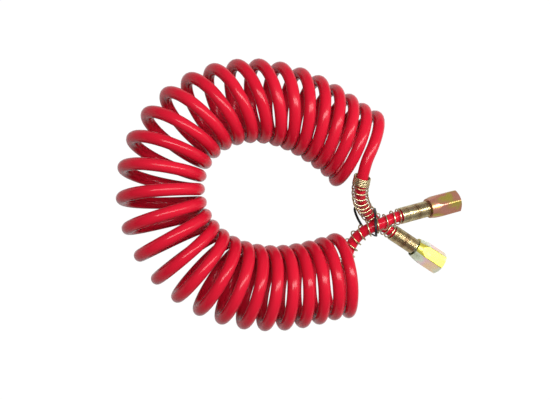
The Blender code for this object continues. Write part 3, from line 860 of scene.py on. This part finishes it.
def facet_films_and_reflections(mesh, ridge_up, reflection_tints):
    """Number the six facets from the top round, and keep for each one whether it takes the pale
    colours with painted reflection.
    """
    facet = mesh.attributes.new("facet", "FLOAT", "FACE")
    tint = mesh.attributes.new("tint", "FLOAT", "FACE")
    first = pi / 6 if ridge_up else 0
    for face in mesh.polygons:
        index = round((atan2(face.normal.y, face.normal.z) - first) / (pi / 3)) % 6
        facet.data[face.index].value = index
        tint.data[face.index].value = reflection_tints[index]


# ---- Cable tie ----

def tie_line():
    spots = np.array(TIE_ROUTE)
    count = len(spots)
    line = []
    for k in range(count):
        p0, p1, p2, p3 = (spots[(k + j - 1) % count] for j in range(4))
        for u in np.arange(TIE_POINTS) / TIE_POINTS:
            line.append(0.5 * (2 * p1 + (p2 - p0) * u + (2 * p0 - 5 * p1 + 4 * p2 - p3) * u ** 2
                               + (3 * p1 - p0 - 3 * p2 + p3) * u ** 3))
    return [Vector(p) for p in line]


def tie_mesh():
    """A flat band in a loose loop, with its long edges eased."""
    points = tie_line()
    count = len(points)
    middle = sum(points, Vector()) / count
    half, edge = TIE_WIDTH / 2, TIE_EASE
    section = [(-half, edge), (-half + edge, 0), (half - edge, 0), (half, edge),
               (half, TIE_THICKNESS - edge), (half - edge, TIE_THICKNESS),
               (edge - half, TIE_THICKNESS), (-half, TIE_THICKNESS - edge)]
    shape = bmesh.new()
    rings = []
    for k, point in enumerate(points):
        way = (points[(k + 1) % count] - points[k - 1]).normalized()
        wide = (Vector((1, 0, 0)) - way * way.x).normalized()
        out = way.cross(wide)
        if out.dot(point - middle) < 0:
            out.negate()
        rings.append([shape.verts.new(point + wide * a + out * b) for a, b in section])
    for k in range(count):
        here, there = rings[k], rings[(k + 1) % count]
        for j in range(len(section)):
            i = (j + 1) % len(section)
            shape.faces.new((here[j], here[i], there[i], there[j]))
    bmesh.ops.recalc_face_normals(shape, faces=shape.faces)
    return shaded(mesh_of(shape, "tie"))


def tie_head_mesh():
    shape = bmesh.new()
    bmesh.ops.create_cube(shape, size=1.0)
    bmesh.ops.scale(shape, vec=TIE_HEAD, verts=shape.verts)
    place = Vector((*TIE_HEAD_PLACE, GAP + TIE_HEAD[2] / 2))
    bmesh.ops.translate(shape, vec=place, verts=shape.verts)
    bmesh.ops.bevel(shape, geom=shape.edges[:], offset=TIE_HEAD_EASE, segments=3,
                    affect="EDGES", profile=0.5)
    return shaded(mesh_of(shape, "tie_head"))


# ---- Stage ----

def floor_finish():
    """White to the camera, with a faint shadow, and dimmer in what shiny pieces reflect."""
    finish = Finish("floor_white", (0.5, 0.5, 0.5), 0.7)
    camera = finish.node("ShaderNodeLightPath", {}, {}, "Is Camera Ray")
    clear = finish.node("ShaderNodeMath", {"operation": "MINIMUM"},
                        {0: camera + camera.out("Is Transmission Ray"), 1: 1.0})
    seen = clear * FLOOR_WHITE + camera.out("Is Glossy Ray") * FLOOR_SEEN
    glow = finish.node("ShaderNodeEmission", {},
                       {"Color": rgb(1.0, 1.0, 1.0), "Strength": FLOOR_GLOW})
    plain = Value(finish, finish.shader.outputs["BSDF"])
    mixed = finish.node("ShaderNodeMixShader", {}, {0: seen, 1: plain, 2: glow})
    finish.tree.links.new(mixed.socket, finish.tree.nodes["Material Output"].inputs["Surface"])
    return finish.material


def make_stage():
    shape = bmesh.new()
    bmesh.ops.create_grid(shape, x_segments=1, y_segments=1, size=FLOOR_SIZE / 2)
    mesh = mesh_of(shape, "floor")
    mesh.transform(Matrix.Translation((0, 0, -FLOOR_DROP)))
    floor = link("floor", mesh, floor_finish())


def make_world():
    world = bpy.data.worlds.new("studio")
    world.use_nodes = True
    graph = Graph(world.node_tree)
    back = world.node_tree.nodes["Background"]
    camera = graph.node("ShaderNodeLightPath", {}, {}, "Is Camera Ray")
    glossy = camera.out("Is Glossy Ray")
    others = 1.0 - camera - glossy
    graph.feed(back.inputs["Color"], rgb(1.0, 1.0, 1.0))
    graph.feed(back.inputs["Strength"], camera + glossy * WORLD_SEEN + others * WORLD_LEVEL)
    bpy.context.scene.world = world


def make_lamp(name, place, turn, size, power):
    data = bpy.data.lights.new(name, "AREA")
    data.shape = "RECTANGLE"
    data.size, data.size_y = size
    data.energy = power
    lamp = bpy.data.objects.new(name, data)
    lamp.location = place
    lamp.rotation_euler = turn
    bpy.context.scene.collection.objects.link(lamp)


def make_camera():
    data = bpy.data.cameras.new("camera")
    data.sensor_width = 36.0
    data.lens = CAMERA_LENS
    camera = bpy.data.objects.new("camera", data)
    forward, up = Vector(CAMERA_FORWARD).normalized(), Vector(CAMERA_UP)
    right = forward.cross(up).normalized()
    up = right.cross(forward)
    turn = Matrix((right, up, -forward)).transposed()
    camera.matrix_world = Matrix.Translation(CAMERA_PLACE) @ turn.to_4x4()
    bpy.context.scene.collection.objects.link(camera)
    bpy.context.scene.camera = camera


# ---- Pieces handed over with their bodies ----

def make_end(letter, place, leg, tree, finishes):
    """Guard, ferrule, stem, seal and nut at one end of the hose."""
    end = ENDS[letter]
    guard = grown("guard_" + letter, line_mesh(guard_line(leg, end)), tree,
                  Radius=WIRE_DIAMETER / 2, Sides=WIRE_SIDES, Finish=finishes["wire"])
    nut = nut_mesh(end.ridge_up)
    facet_films_and_reflections(nut, end.ridge_up, end.reflection_tints)
    nut_place = place @ Matrix.Translation((NUT_REAR, 0, 0))
    pieces = [
        (guard, "hose", "spring_guard_", "guard_wire"),
        (laid("ferrule_" + letter, ferrule_mesh(), place, finishes["ferrule"]),
         "hose", "crimp_ferrule_", "ferrule_steel"),
        (laid("stem_" + letter, stem_mesh(), place, finishes["stem"]),
         "hose", "hose_stem_", "stem_brass"),
        (laid("seal_" + letter, seal_mesh(), place, finishes["seal"]),
         "hose", "seal_ring_", "seal_rubber"),
        (laid("nut_" + letter, nut, nut_place, finishes["nut_" + letter]),
         "nut_" + letter, "union_nut_", "nut_zinc"),
    ]
    for piece, body, solid, slot in pieces:
        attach(piece, body)
        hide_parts(solid + letter)
    return [piece for piece, *_ in pieces]


def make_tie(finish):
    pieces = [link("tie_band", tie_mesh(), finish), link("tie_head", tie_head_mesh(), finish)]
    for piece in pieces:
        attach(piece, "hose")
        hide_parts("cable_tie")
    return pieces


def main():
    make_camera()
    make_world()
    make_stage()
    make_lamp("strip", STRIP_PLACE, STRIP_TURN, STRIP_SIZE, STRIP_POWER)
    make_lamp("side", SIDE_PLACE, SIDE_TURN, SIDE_SIZE, SIDE_POWER)
    tree, finishes = sweep_tree(), make_finishes()
    lines = end_lines()
    hose, line = make_hose(lines["a"][1], lines["b"][1], tree, finishes["hose"])
    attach(hose, "hose")
    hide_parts("hose_coil", "hose_leg_a", "hose_leg_b")
    on_hose = []
    for letter, (place, leg) in lines.items():
        on_hose += make_end(letter, place, leg, tree, finishes)
    on_hose += make_tie(finishes["tie"])
    bpy.context.scene.view_settings.view_transform = "Standard"


main()
